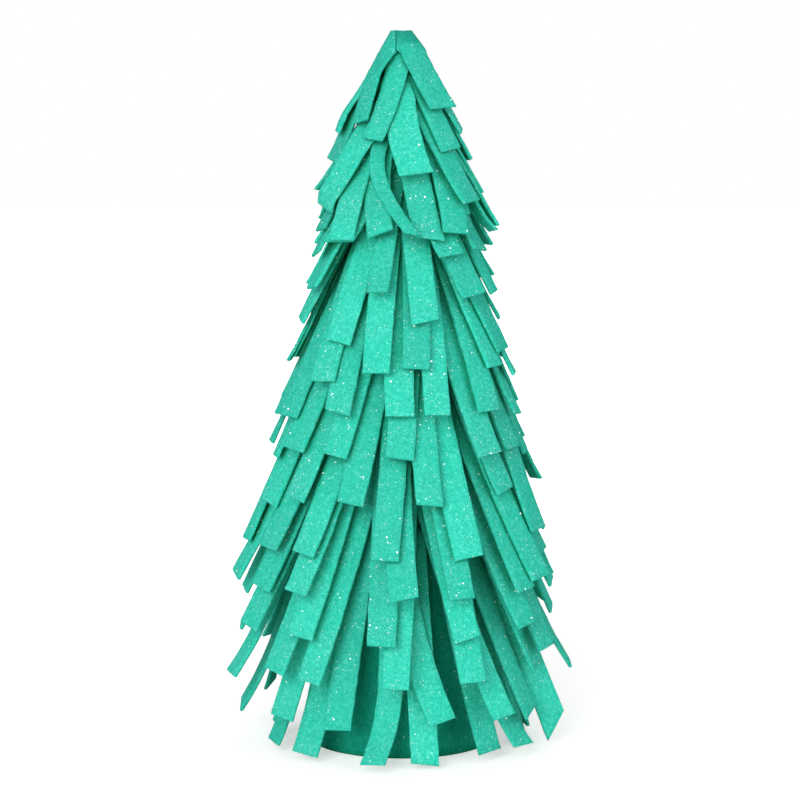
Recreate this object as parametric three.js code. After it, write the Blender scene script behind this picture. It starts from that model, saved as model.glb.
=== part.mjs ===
// Tabletop tree: a foam cone in a felt sleeve, covered by rings of fringed felt.
// Millimetres, +Z up, origin at the centre of the foot, front towards -Y.
import * as THREE from "three";
import { mergeVertices } from "three/addons/utils/BufferGeometryUtils.js";

// Foam cone.
const coneHeight = 294;
const coneBaseRadius = 38;
const coneTipRadius = 2.6;

// Felt, and the room that separate pieces keep from each other.
const feltThickness = 1.5;
const fitGap = 0.3;
const layGap = 0.4;

// Sleeve and foot disc.
const discThickness = 1.8;
const sleeveHeight = 276;

// Fringe strips.
const tabWidth = 11.4;
const tipTabWidth = 10;
const headerHeight = 5;
const slitWidth = 0.5;
const endClearance = 0.6;

// Half the width of the whole fringe at the heights below, which the longest side tabs reach.
const skirtRadius = 69;
const tipWrapRise = 3.6;

const turn = 2 * Math.PI;

// Faces round the turned bodies, and across and along a tab.
const ringSides = 48;
const tipColumns = 4;
const tabSegments = 4;

// How finely the tabs are settled on each other: places on a tab, and cells of the map.
const samplesAlong = 30;
const samplesAcross = 6;
const mapSectors = 360;
const mapRise = 0.5;
const settleRounds = 3;

const footZ = discThickness + fitGap;
const coneTopZ = footZ + coneHeight;
const treeHeight = coneTopZ + tipWrapRise;

// Outline of the fringe: height and half width, as shares of the tree height and the skirt radius.
const outlineShares = [
  [0, 0.78], [0.04, 0.9], [0.1, 1], [0.23, 0.97], [0.33, 0.885], [0.47, 0.765], [0.61, 0.63],
  [0.72, 0.55], [0.78, 0.505], [0.835, 0.39], [0.9, 0.29], [1, 0.1],
];

// Strips from the floor up. headShare and endShare are the heights of the header's top edge and of the tab
// ends, as shares of the tree height. Each front tab has the azimuth of its end in degrees, 0 in front and
// 90 to the right, then how far its end is above the strip's own, as a share of the tab width, and how much
// more it flares, as a share. backTabs fill the rest. columns is how many faces a tab has across, 1 if not
// given: more where it has to roll round a narrow part of the cone.
const strips = [
  { headShare: 0.318, endShare: 0.004, backTabs: 9, tabShares: [
    [-64, 0.1, 0.02], [-42, 0.08, 0.05], [-8, 0, 0.12], [10, 0, 0], [40, 0.2, 0], [52, 0.2, 0.05]] },
  { headShare: 0.378, endShare: 0.056, backTabs: 9, tabShares: [
    [-92, -0.45, 0.08], [-52, 0, -0.05], [-25, -0.1, 0], [15, 0.3, 0], [41, 0.2, 0], [58, 0, -0.06],
    [77, -1.1, 0.36]] },
  { headShare: 0.435, endShare: 0.12, backTabs: 8, tabShares: [
    [-80, -0.7, 0], [-49, 0.1, -0.03], [-34, 0, 0], [-2, 0, 0], [25, 0.1, 0], [64, 0, -0.11],
    [86, -0.4, -0.02]] },
  { headShare: 0.492, endShare: 0.181, backTabs: 8, tabShares: [
    [-86, -0.6, 0], [-67, -0.1, 0], [-38, 0, 0], [-7, -0.15, 0], [24, 0, 0], [51, 0.2, -0.02],
    [65, -0.9, -0.06]] },
  { headShare: 0.549, endShare: 0.241, backTabs: 8, tabShares: [
    [-86, -0.7, -0.05], [-62, -0.2, 0], [-39, 0, 0], [1, 0, 0], [21, 0, 0], [52, -0.1, -0.07],
    [76, -0.3, -0.1]] },
  { headShare: 0.602, endShare: 0.294, backTabs: 8, tabShares: [
    [-80, -1.5, 0.01], [-59, -0.1, 0], [-38, 0, 0], [-6, 0, 0], [25, 0, 0], [60, -1.2, -0.05],
    [75, -0.5, -0.1]] },
  { headShare: 0.656, endShare: 0.364, backTabs: 7, tabShares: [
    [-82, -2, -0.01], [-66, -0.4, 0], [-45, 0, 0], [-21, 0, 0], [11, 0, 0], [52, 0.2, -0.08],
    [67, -1.4, -0.1], [82, -1, -0.1]] },
  { headShare: 0.7, endShare: 0.427, backTabs: 7, tabShares: [
    [-69, -0.4, 0], [-51, 0.1, 0], [-30, 0, 0], [-1, 0, 0], [40, 0, 0], [61, 0, -0.05],
    [84, -0.4, -0.1]] },
  { headShare: 0.738, endShare: 0.484, backTabs: 6, tabShares: [
    [-76, -0.4, -0.05], [-59, -0.3, 0], [-29, 0, 0], [-1, 0, 0], [16, 0, 0], [43, 0, 0],
    [72, -0.4, -0.1]] },
  { headShare: 0.77, columns: 2, endShare: 0.541, backTabs: 5, tabShares: [
    [-80, 0, -0.05], [-39, -0.4, 0], [-12, 0, 0], [7, 0.1, 0], [55, 0, -0.05], [78, -0.5, -0.1]] },
  { headShare: 0.797, columns: 2, endShare: 0.598, backTabs: 4, tabShares: [
    [-72, 0, -0.05], [-35, -0.5, 0], [13, 0.2, 0], [66, -1, -0.1], [95, 0, -0.1]] },
  { headShare: 0.823, columns: 2, endShare: 0.648, backTabs: 4, tabShares: [
    [-58, 0, 0], [-13, 0, 0], [44, -0.2, 0], [78, -0.3, -0.1]] },
  { headShare: 0.848, columns: 2, endShare: 0.695, backTabs: 4, tabShares: [
    [-58, 0, 0], [-44, 0.3, 0], [31, 0, 0], [58, 0.1, -0.09]] },
  { headShare: 0.873, columns: 2, endShare: 0.726, backTabs: 3, tabShares: [
    [-63, 0, -0.04], [-13, 0, -0.06], [18, -0.3, -0.02], [48, 0.6, -0.11], [84, -0.2, -0.14]] },
  { headShare: 0.898, columns: 2, endShare: 0.73, backTabs: 3, tabShares: [
    [-84, 0.3, -0.11], [-38, -0.35, 0], [6, -0.1, 0.06], [34, -0.1, 0]] },
  { headShare: 0.923, columns: 2, endShare: 0.766, backTabs: 3, tabShares: [
    [-88, 0.3, -0.09], [-62, -0.2, -0.03], [50, 0, 0.03]] },
  { headShare: 0.951, columns: 2, endShare: 0.82, backTabs: 3, tabShares: [
    [-78, 0, -0.1], [12, -0.45, 0.05], [49, 0.4, -0.11]] },
  { headShare: 0.981, columns: 2, endShare: 0.863, backTabs: 2, tabShares: [
    [-76, -0.1, -0.22], [-27, -0.32, 0], [84, -0.1, -0.5]] },
];
const tipStrip = {
  headShare: 1,
  endShare: 0.875,
  backTabs: 2,
  tabWidth: tipTabWidth,
  columns: tipColumns,
  tabShares: [[54, 0.35, 0.1], [-42, 0, 0.1]],
};

// Small differences that hand cutting leaves: shares of the tab width, of the flare and of the felt's
// thickness, and turns in degrees.
const endSpreadShare = 0.16;
const flareSpreadShare = 0.05;
const bowShare = 0.3;
const twistSpread = 9;
const azimuthSpread = 5;

// How much more the tabs at the back flare, as a share: they hang closer in than the front ones.
const backFlareShare = -0.06;

// How much of its azimuth the end of a front tab turns back, so that it faces the front more, and the
// azimuths in degrees between which tabs do so. Those on the right hang edge-on.
const turnBackShare = 0.16;
const turnBackFrom = -100;
const turnBackTo = 50;

// Shares of a tab's drop: down to flatShare it is gathered and rolled to fit the cone, and below rootShare
// it is free to move out as a whole.
const flatShare = 0.45;
const rootShare = 0.17;

let seed = 20481;
function random() {
  seed = (seed * 16807) % 2147483647;
  return seed / 2147483647;
}

function spread(size) {
  return (2 * random() - 1) * size;
}

// Straight line through neighbouring points of a list of [place, value].
function along(points, place) {
  const next = points.findIndex((point) => point[0] >= place);
  if (next < 1) return next < 0 ? points.at(-1)[1] : points[0][1];
  const [x0, y0] = points[next - 1];
  const [x1, y1] = points[next];
  return y0 + ((y1 - y0) * (place - x0)) / (x1 - x0);
}

function outlineRadius(z) {
  return along(outlineShares, z / treeHeight) * skirtRadius;
}

function foamRadius(z) {
  const share = (z - footZ) / coneHeight;
  return coneBaseRadius + (coneTipRadius - coneBaseRadius) * share;
}

// Outside of the sleeve, or of the bare foam above it, which the headers are glued to.
function seatRadius(z) {
  const bare = foamRadius(Math.min(z, coneTopZ));
  return z > sleeveHeight + fitGap ? bare : bare + fitGap + feltThickness;
}

// Maps of how far out the felt reaches, by sector and height: with the tabs of the strip in hand, and
// with the finished strips under it alone.
const mapRows = Math.ceil(treeHeight / mapRise) + 2;
const reach = new Float64Array(mapSectors * mapRows);
const finishedReach = new Float64Array(mapSectors * mapRows);

function mapIndex(angle, z) {
  const sector = Math.floor((((angle % turn) + turn) % turn) / turn * mapSectors) % mapSectors;
  const row = Math.min(Math.max(Math.floor(z / mapRise), 0), mapRows - 1);
  return row * mapSectors + sector;
}

function fillMap() {
  for (let row = 0; row < mapRows; row++) {
    reach.fill(seatRadius(row * mapRise), row * mapSectors, (row + 1) * mapSectors);
  }
}

function raiseMap(point) {
  const index = mapIndex(Math.atan2(point.x, -point.y), point.z);
  reach[index] = Math.max(reach[index], Math.hypot(point.x, point.y));
}

// Centre of a tab's inner face at a share of its drop.
function tabCentre(tab, share) {
  const z = tab.topZ - tab.drop * share;
  const radius = along(tab.profile, share);
  const angle = tab.rootAngle + (tab.endAngle - tab.rootAngle) * share;
  return new THREE.Vector3(radius * Math.sin(angle), -radius * Math.cos(angle), z);
}

// Directions across the tab and out of its face. The tab turns about its length towards its end.
function tabAxes(tab, share) {
  const step = 1 / (2 * samplesAlong);
  const from = tabCentre(tab, Math.max(share - step, 0));
  const down = tabCentre(tab, Math.min(share + step, 1)).sub(from).normalize();
  const angle = tab.rootAngle + (tab.endAngle - tab.rootAngle) * share + tab.twist * share;
  const outward = new THREE.Vector3(Math.sin(angle), -Math.cos(angle), 0);
  const across = new THREE.Vector3().crossVectors(outward, down).normalize();
  const face = new THREE.Vector3().crossVectors(down, across).normalize();
  return { across, face };
}

// Tabs are gathered at the header, where there is less room than their width.
function widthAt(tab, share) {
  const room = along(tab.profile, share) * tab.spacing - slitWidth;
  return share < flatShare ? Math.min(tab.width, room) : tab.width;
}

// Point of a tab: side runs from -1 to 1 across it, and lift is measured out of its inner face.
// At the root it is rolled round the cone, and lower down it is flat.
function tabPoint(tab, share, side, lift) {
  const { across, face } = tabAxes(tab, share);
  const centre = tabCentre(tab, share);
  const offset = (side * widthAt(tab, share)) / 2;
  const roll = tab.columns > 1 ? Math.max(1 - share / flatShare, 0) ** 2 : 0;
  const bend = roll / Math.max(along(tab.profile, 0), coneTipRadius);
  const lateral = bend > 0 ? Math.sin(bend * offset) / bend : offset;
  const sag = bend > 0 ? (1 - Math.cos(bend * offset)) / bend : 0;
  const liftAcross = Math.sin(bend * offset) * lift;
  const liftOut = Math.cos(bend * offset) * lift;
  return centre.addScaledVector(across, lateral + liftAcross).addScaledVector(face, liftOut - sag);
}

// How far the tab has to move out at a share of its drop to clear the felt under it.
function shortfall(tab, share) {
  let most = -Infinity;
  const sideLimit = 1 + (2 * layGap) / tab.width;
  for (let k = 0; k <= samplesAcross; k++) {
    const side = ((2 * k) / samplesAcross - 1) * sideLimit;
    const point = tabPoint(tab, share, side, 0);
    const map = share < flatShare ? finishedReach : reach;
    const below = map[mapIndex(Math.atan2(point.x, -point.y), point.z)];
    most = Math.max(most, below + layGap - Math.hypot(point.x, point.y));
  }
  return most;
}

// Least profile over the given points whose slope only falls towards the end, as a stiff strip hangs.
function tautProfile(points) {
  const hull = [];
  for (const point of points) {
    while (hull.length > 1) {
      const [x0, y0] = hull.at(-2);
      const [x1, y1] = hull.at(-1);
      if ((y1 - y0) * (point[0] - x1) > (point[1] - y1) * (x1 - x0)) break;
      hull.pop();
    }
    hull.push(point);
  }
  return hull;
}

// Stations along a tab: both edges of the header, then the free length in equal parts.
function stationShares(tab) {
  const headerShare = headerHeight / tab.drop;
  const shares = [0];
  for (let k = 0; k < tabSegments; k++) {
    shares.push(headerShare + ((1 - headerShare) * k) / (tabSegments - 1));
  }
  return shares;
}

// Lays a tab over everything that is in place already, then adds it to the map.
function layTab(tab) {
  const rootLift = Math.max(shortfall(tab, 0), 0);
  tab.profile[0][1] += rootLift;
  const needs = [tab.profile[0]];
  for (let k = 1; k <= samplesAlong; k++) {
    const share = k / samplesAlong;
    const now = along(tab.profile, share);
    const bow = tab.bow * 4 * share * (1 - share);
    needs.push([share, Math.max(now + shortfall(tab, share), k === samplesAlong ? now : bow + now)]);
  }
  const taut = tautProfile(needs);
  tab.profile = stationShares(tab).map((share) => [share, along(taut, share)]);
  for (let round = 0; round < settleRounds; round++) {
    let most = 0;
    for (let k = 1; k <= samplesAlong; k++) {
      most = Math.max(most, shortfall(tab, k / samplesAlong));
    }
    for (const point of tab.profile) {
      point[1] += most * Math.min(point[0] / rootShare, 1);
    }
  }
  addTabToMap(tab);
}

function addTabToMap(tab) {
  const acrossSteps = Math.ceil((2 * tab.width) / mapRise);
  const alongSteps = Math.ceil((2 * tab.drop) / mapRise);
  for (let i = 0; i <= alongSteps; i++) {
    for (let k = 0; k <= acrossSteps; k++) {
      raiseMap(tabPoint(tab, i / alongSteps, (2 * k) / acrossSteps - 1, feltThickness));
    }
  }
}

// Tabs of a strip in order round the cone: the front ones, then the ones that fill the back.
function stripTabs(strip) {
  const ends = strip.tabShares.map(([azimuth, lift, flare]) => {
    const turned = azimuth > turnBackFrom && azimuth < turnBackTo ? -azimuth * turnBackShare : 0;
    return { azimuth, lift, flare, turned };
  });
  const right = Math.max(...ends.map((end) => end.azimuth));
  const left = Math.min(...ends.map((end) => end.azimuth)) + 360;
  for (let k = 1; k <= strip.backTabs; k++) {
    const azimuth = right + ((left - right) * k) / (strip.backTabs + 1) + spread(azimuthSpread);
    ends.push({ azimuth, lift: spread(endSpreadShare), flare: backFlareShare, turned: 0 });
  }
  ends.sort((a, b) => a.azimuth - b.azimuth);
  const topZ = strip.headShare * treeHeight;
  const step = 360 / ends.length;
  const phase = ends.reduce((sum, end, k) => sum + end.azimuth - step * k, 0) / ends.length;
  const columns = strip.columns ?? 1;
  const chordShare = columns > 1 ? Math.cos(Math.PI / (columns * ends.length)) : 1;
  const rootRadius = (seatRadius(topZ) + fitGap) / chordShare;
  return ends.map((end, k) => {
    const endZ = Math.max(strip.endShare * treeHeight + end.lift * tabWidth, endClearance);
    const flare = 1 + end.flare + spread(flareSpreadShare);
    const endRadius = rootRadius + (outlineRadius(endZ) - rootRadius) * flare;
    return {
      width: strip.tabWidth ?? tabWidth,
      spacing: THREE.MathUtils.degToRad(step),
      topZ,
      drop: topZ - endZ,
      endAngle: THREE.MathUtils.degToRad(end.azimuth),
      rootAngle: THREE.MathUtils.degToRad(phase + step * k),
      twist: THREE.MathUtils.degToRad(end.turned + spread(twistSpread)),
      bow: random() * bowShare * feltThickness,
      columns,
      profile: [[0, rootRadius], [1, endRadius]],
    };
  });
}

// Corners of a tab: for each face, outer first, a row of corners across it at every station.
function tabCorners(tab) {
  const corners = [];
  for (const lift of [feltThickness, 0]) {
    for (const share of stationShares(tab)) {
      for (let k = 0; k <= tab.columns; k++) {
        corners.push(...tabPoint(tab, share, (2 * k) / tab.columns - 1, lift).toArray());
      }
    }
  }
  return corners;
}

// One closed skin over a strip: its tabs are joined side by side down to the lower edge of the header.
function stripGeometry(tabs) {
  // Numbers of the last column of corners, at a tab's right edge, and of the last station, at its end.
  const right = tabs[0].columns;
  const end = tabSegments;
  const index = [];
  // Corner number by tab, face (0 outer, 1 inner), station and column.
  const at = (n, face, i, k) => (((n % tabs.length) * 2 + face) * (end + 1) + i) * (right + 1) + k;
  const quad = (a, b, c, d) => index.push(a, b, c, a, c, d);
  tabs.forEach((tab, n) => {
    for (let k = 0; k < right; k++) {
      for (let i = 0; i < end; i++) {
        quad(at(n, 0, i, k), at(n, 0, i + 1, k), at(n, 0, i + 1, k + 1), at(n, 0, i, k + 1));
        quad(at(n, 1, i, k), at(n, 1, i, k + 1), at(n, 1, i + 1, k + 1), at(n, 1, i + 1, k));
      }
      quad(at(n, 0, 0, k), at(n, 0, 0, k + 1), at(n, 1, 0, k + 1), at(n, 1, 0, k));
      quad(at(n, 0, end, k), at(n, 1, end, k), at(n, 1, end, k + 1), at(n, 0, end, k + 1));
    }
    for (let i = 1; i < end; i++) {
      quad(at(n, 0, i, 0), at(n, 1, i, 0), at(n, 1, i + 1, 0), at(n, 0, i + 1, 0));
      quad(at(n, 0, i, right), at(n, 0, i + 1, right), at(n, 1, i + 1, right), at(n, 1, i, right));
    }
    quad(at(n, 0, 0, right), at(n, 0, 1, right), at(n + 1, 0, 1, 0), at(n + 1, 0, 0, 0));
    quad(at(n, 1, 0, right), at(n + 1, 1, 0, 0), at(n + 1, 1, 1, 0), at(n, 1, 1, right));
    quad(at(n, 0, 0, right), at(n + 1, 0, 0, 0), at(n + 1, 1, 0, 0), at(n, 1, 0, right));
    quad(at(n, 0, 1, right), at(n, 1, 1, right), at(n + 1, 1, 1, 0), at(n + 1, 0, 1, 0));
  });
  const geometry = new THREE.BufferGeometry();
  geometry.setAttribute("position", new THREE.Float32BufferAttribute(tabs.flatMap(tabCorners), 3));
  geometry.setIndex(index);
  return geometry;
}

// Body of revolution about Z from a profile of [radius, z].
function turnedGeometry(profile) {
  const points = profile.map(([radius, z]) => new THREE.Vector2(radius, z));
  const geometry = new THREE.LatheGeometry(points, ringSides).rotateX(Math.PI / 2);
  geometry.deleteAttribute("normal");
  geometry.deleteAttribute("uv");
  return mergeVertices(geometry, fitGap / 100);
}

// The header closes the gaps between the tops of its tabs, so all sectors there are taken.
function addHeaderToMap(tabs) {
  for (let drop = 0; drop <= headerHeight; drop += mapRise / 2) {
    const radii = tabs.map((tab) => along(tab.profile, drop / tab.drop));
    const radius = Math.max(...radii) + feltThickness;
    for (let k = 0; k < mapSectors; k++) {
      const angle = ((k + 0.5) / mapSectors) * turn;
      raiseMap(new THREE.Vector3(radius * Math.sin(angle), -radius * Math.cos(angle), tabs[0].topZ - drop));
    }
  }
}

function fringeStrip(strip) {
  const tabs = stripTabs(strip);
  finishedReach.set(reach);
  for (const tab of tabs) layTab(tab);
  addHeaderToMap(tabs);
  return stripGeometry(tabs);
}

function foamCone() {
  return turnedGeometry([[0, footZ], [coneBaseRadius, footZ], [coneTipRadius, coneTopZ], [0, coneTopZ]]);
}

function coneSleeve() {
  const inner = (z) => foamRadius(z) + fitGap;
  const outer = (z) => inner(z) + feltThickness;
  const corners = [
    [inner(0), 0], [outer(0), 0], [outer(sleeveHeight), sleeveHeight], [inner(sleeveHeight), sleeveHeight],
  ];
  return turnedGeometry([...corners, corners[0]]);
}

function baseDisc() {
  return turnedGeometry([[0, 0], [coneBaseRadius, 0], [coneBaseRadius, discThickness], [0, discThickness]]);
}

const feltColour = 0x3fcfae;
const shadedFeltColour = 0x138a6c;
const foamColour = 0xf2f2ee;

const group = new THREE.Group();

function addPart(name, geometry, colour, roughness) {
  const material = new THREE.MeshStandardMaterial({ color: colour, roughness, metalness: 0 });
  const mesh = new THREE.Mesh(geometry, material);
  mesh.name = name;
  group.add(mesh);
}

fillMap();
addPart("base_disc", baseDisc(), shadedFeltColour, 0.95);
addPart("foam_cone", foamCone(), foamColour, 0.8);
addPart("cone_cover", coneSleeve(), shadedFeltColour, 0.95);
strips.forEach((strip, k) => {
  addPart(`fringe_row_${String(k + 1).padStart(2, "0")}`, fringeStrip(strip), feltColour, 0.95);
});
addPart("tip_wrap", fringeStrip(tipStrip), feltColour, 0.95);

export default group;
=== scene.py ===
"""A tabletop Christmas tree: a foam cone in a felt sleeve, covered with rings of fringed felt.

The strips of fringe are laid from the floor up, as in the part. Each tab is moved out until it clears what
lies under it, and then hangs as a taut curve.
"""

import math
from dataclasses import dataclass

import bpy
import numpy as np
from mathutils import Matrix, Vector, noise


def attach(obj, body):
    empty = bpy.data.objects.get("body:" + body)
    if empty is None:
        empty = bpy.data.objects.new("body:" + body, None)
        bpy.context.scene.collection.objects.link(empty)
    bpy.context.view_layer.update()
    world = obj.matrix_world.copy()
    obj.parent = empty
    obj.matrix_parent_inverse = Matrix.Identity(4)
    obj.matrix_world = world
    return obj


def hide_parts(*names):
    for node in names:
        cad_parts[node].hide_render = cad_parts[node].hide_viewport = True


TURN = 2 * math.pi

# Sizes in millimetres, as in the part. Meshes are made in metres.
MM = 0.001
CONE_HEIGHT = 294.0
CONE_BASE_RADIUS = 38.0
CONE_TIP_RADIUS = 2.6
FELT = 1.5
FIT_GAP = 0.3
LAY_GAP = 0.4
DISC_THICKNESS = 1.8
SLEEVE_HEIGHT = 276.0
TAB_WIDTH = 11.4
TIP_TAB_WIDTH = 10.0
HEADER_HEIGHT = 5.0
TIP_HEADER_HEIGHT = 7.5
SLIT_WIDTH = 0.5
END_CLEARANCE = 0.6
SKIRT_RADIUS = 69.0
TIP_RISE = 3.6
FOOT_Z = DISC_THICKNESS + FIT_GAP
CONE_TOP_Z = FOOT_Z + CONE_HEIGHT
TREE_HEIGHT = CONE_TOP_Z + TIP_RISE

# Height and half width of the fringe, as shares of the tree height and the skirt radius.
OUTLINE = np.array([
    (0, 0.78), (0.04, 0.9), (0.1, 1), (0.23, 0.97), (0.33, 0.885), (0.47, 0.765), (0.61, 0.63),
    (0.72, 0.55), (0.78, 0.505), (0.835, 0.39), (0.9, 0.29), (1, 0.1),
])

# The strips of fringe from the lowest up: height of the header and of the tab ends as shares of the tree's,
# number of tabs at the back, and for each front tab its azimuth in degrees, how far its end is raised, in
# tab widths, and how much more it flares.
STRIPS = [
    (0.318, 0.004, 9, [(-64, 0.1, 0.02), (-42, 0.08, 0.05), (-8, 0, 0.12), (10, 0, 0), (40, 0.2, 0),
        (52, 0.2, 0.05)]),
    (0.378, 0.056, 9, [(-92, -0.45, 0.08), (-52, 0, -0.05), (-25, -0.1, 0), (15, 0.3, 0), (41, 0.2, 0),
        (58, 0, -0.06), (77, -1.1, 0.36)]),
    (0.435, 0.12, 8, [(-80, -0.7, 0), (-49, 0.1, -0.03), (-34, 0, 0), (-2, 0, 0), (25, 0.1, 0),
        (64, 0, -0.11), (86, -0.4, -0.02)]),
    (0.492, 0.181, 8, [(-86, -0.6, 0), (-67, -0.1, 0), (-38, 0, 0), (-7, -0.15, 0), (24, 0, 0),
        (51, 0.2, -0.02), (65, -0.9, -0.06)]),
    (0.549, 0.241, 8, [(-86, -0.7, -0.05), (-62, -0.2, 0), (-39, 0, 0), (1, 0, 0), (21, 0, 0),
        (52, -0.1, -0.07), (76, -0.3, -0.1)]),
    (0.602, 0.294, 8, [(-80, -1.5, 0.01), (-59, -0.1, 0), (-38, 0, 0), (-6, 0, 0), (25, 0, 0),
        (60, -1.2, -0.05), (75, -0.5, -0.1)]),
    (0.656, 0.364, 7, [(-82, -2, -0.01), (-66, -0.4, 0), (-45, 0, 0), (-21, 0, 0), (11, 0, 0),
        (52, 0.2, -0.08), (67, -1.4, -0.1), (82, -1, -0.1)]),
    (0.7, 0.427, 7, [(-69, -0.4, 0), (-51, 0.1, 0), (-30, 0, 0), (-1, 0, 0), (40, 0, 0), (61, 0, -0.05),
        (84, -0.4, -0.1)]),
    (0.738, 0.484, 6, [(-76, -0.4, -0.05), (-59, -0.3, 0), (-29, 0, 0), (-1, 0, 0), (16, 0, 0), (43, 0, 0),
        (72, -0.4, -0.1)]),
    (0.77, 0.541, 5, [(-80, 0, -0.05), (-39, -0.4, 0), (-12, 0, 0), (7, 0.1, 0), (55, 0, -0.05),
        (78, -0.5, -0.1)]),
    (0.797, 0.598, 4, [(-72, 0, -0.05), (-35, -0.5, 0), (13, 0.2, 0), (66, -1, -0.1), (95, 0, -0.1)]),
    (0.823, 0.648, 4, [(-58, 0, 0), (-13, 0, 0), (44, -0.2, 0), (78, -0.3, -0.1)]),
    (0.848, 0.695, 4, [(-58, 0, 0), (-44, 0.3, 0), (31, 0, 0), (58, 0.1, -0.09)]),
    (0.873, 0.726, 3, [(-63, 0, -0.04), (-13, 0, -0.06), (18, -0.3, -0.02), (48, 0.6, -0.11),
        (84, -0.2, -0.14)]),
    (0.898, 0.73, 3, [(-84, 0.3, -0.11), (-38, -0.35, 0), (6, -0.1, 0.06), (34, -0.1, 0)]),
    (0.923, 0.766, 3, [(-88, 0.3, -0.09), (-62, -0.2, -0.03), (50, 0, 0.03)]),
    (0.951, 0.82, 3, [(-78, 0, -0.1), (12, -0.45, 0.05), (49, 0.4, -0.11)]),
    (0.981, 0.863, 2, [(-76, -0.1, -0.22), (-27, -0.32, 0), (84, -0.1, -0.5)]),
]
TIP_STRIP = (1, 0.875, 2, [(54, 0.35, 0.1), (-42, 0, 0.1)])

# What single tabs do, by strip (0 for the tip) and azimuth: curl is how far the end bends out, sway how far
# the middle bows to the right, twist the turn of the end in degrees and wide its share of the usual width.
# slant is how much of the width a sloping cut takes off the end, at the right, or at the left if negative.
HABITS = {
    (1, -64): {"curl": 2.5, "twist": -22},
    (1, -42): {"curl": 3},
    (1, -8): {"curl": 9, "twist": -8, "sway": 6},
    (1, 10): {"curl": 2.5},
    (1, 52): {"curl": 8, "twist": -8},
    (2, -92): {"curl": 3, "twist": -20},
    (2, 15): {"sway": -3.5, "twist": 6},
    (2, 77): {"curl": 1, "twist": -58, "slant": 0.7},
    (3, -80): {"curl": 3, "twist": -10},
    (3, 86): {"curl": 2, "twist": 12},
    (4, -86): {"curl": 2, "twist": -10},
    (6, -80): {"curl": 2},
    (8, -69): {"twist": -14},
    (9, -76): {"twist": -18},
    (10, -80): {"twist": -22},
    (11, -72): {"twist": -26},
    (12, -58): {"twist": -28},
    (12, -13): {"wide": 0.78},
    (13, -58): {"twist": -28},
    (13, -44): {"slant": 0.45},
    (14, -63): {"twist": -22},
    (14, 18): {"wide": 1.06, "slant": -0.25},
    (14, 84): {"curl": 5, "wide": 0.5, "twist": 30},
    (15, -84): {"curl": 1, "wide": 0.7, "twist": -20},
    (15, 6): {"sway": -12, "twist": 22, "wide": 0.56},
    (16, -88): {"curl": 1, "wide": 0.75, "twist": -20},
    (17, 12): {"wide": 1.18, "slant": -0.2},
    (18, -76): {"twist": -24, "curl": 0, "wide": 0.8},
    (18, -27): {"slant": 0.1, "wide": 0.8},
    (18, 84): {"twist": 8, "curl": 0, "wide": 0.55},
    (0, -42): {"twist": -18, "curl": 0, "wide": 0.95, "sway": 2.5},
    (0, 54): {"twist": -24, "curl": 0, "wide": 1.05, "slant": -0.36},
}

# Seeds of the random draws: one run is shared with the part, the others are for what only the scene has.
PART_SEED = 20481
HAND_SEED = 7
GLITTER_SEED = 11
FUZZ_SEED = 5

# Random differences from tab to tab, as in the part: azimuth of the back tabs, height of their ends in tab
# widths, flare, twist in degrees, and how far a tab bows out, in thicknesses of felt.
AZIMUTH_SPREAD = 5
END_SPREAD = 0.16
FLARE_SPREAD = 0.05
TWIST_SPREAD = 9
BOW = 0.3

# What hand cutting adds: share of the usual width, spreads of sway and curl in millimetres, and of slant.
WIDTH_RANGE = (0.94, 1.06)
SWAY_SPREAD = 0.35
CURL_SPREAD = 0.7
SLANT_SPREAD = 0.07

# How much of its azimuth the end of a front tab turns back, so that it faces the front more, and the
# azimuths between which tabs do so.
TURN_BACK = 0.16
TURN_BACK_FROM, TURN_BACK_TO = -100, 50

# How much more the tabs at the back flare: less, so they hang a little closer in than the front ones.
BACK_FLARE = -0.06

# The tip strip's header is turned round by this much, in degrees, which brings its seam left of the middle.
# Its tabs flare from TIP_BEND on, a share of their drop, where they are TIP_EASE further out than the rim.
TIP_TURN = -24
TIP_BEND, TIP_EASE = 0.22, 0.6

# The seam: where it lies, half widths of its dark core and of its soft edge, and how far it goes on below
# the header. The stain of glue right of it fades towards the seam over STAIN_EDGE, and downwards between
# two depths under the tip. STAIN_WANDER is how far its edges stray.
SEAM_X = -2.3
SEAM_CORE, SEAM_EDGE = 0.12, 0.32
SEAM_BELOW = 0.6
STAIN_EDGE = 0.6
STAIN_LOW, STAIN_HIGH = 5.2, 4.2
STAIN_WANDER = 0.5

# Along a tab, in shares of its drop: how far down it rolls round the cone and lies on finished strips only,
# and where and over how much it widens, curls out and is cut at a slant. LEAST_ROLL is the roll that stays.
ROLL_END = 0.45
LEAST_ROLL = 0.12
WIDEN_FROM, WIDEN_OVER = 0.3, 0.3
CURL_FROM, CURL_OVER = 0.72, 0.28
SLANT_FROM, SLANT_OVER = 0.6, 0.4

# How tabs are laid: points of a profile, probes across a tab, rounds of softening and of mending what still
# cuts into the felt below, and the share of the drop over which mending sets in.
SAMPLES = 30
PROBES = 9
SOFTEN_ROUNDS = 4
MEND_ROUNDS = 4
MEND_EASE = 0.1

# The map of how far out the felt reaches: sectors round the tree, and height of a row.
MAP_SECTORS = 360
MAP_RISE = 0.5
MAP_ROWS = math.ceil(TREE_HEIGHT / MAP_RISE) + 2

# How finely the felt is made: rows of corners down the free length of a tab, the last of them ROUND before
# its end, and lines along it, from edge to edge. EDGE_LIFT is what the cut edges keep of the thickness.
STATIONS = 26
ROUND = 0.3
LINES = np.array([-1, -0.94, -0.62, -0.3, 0, 0.3, 0.62, 0.94, 1])
MIDDLE = len(LINES) // 2
EDGE_LINES = (0, 1, len(LINES) - 2, len(LINES) - 1)
EDGE_LIFT = 0.84
FACE_LIFT = np.array([EDGE_LIFT, *[1] * (len(LINES) - 2), EDGE_LIFT])

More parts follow.
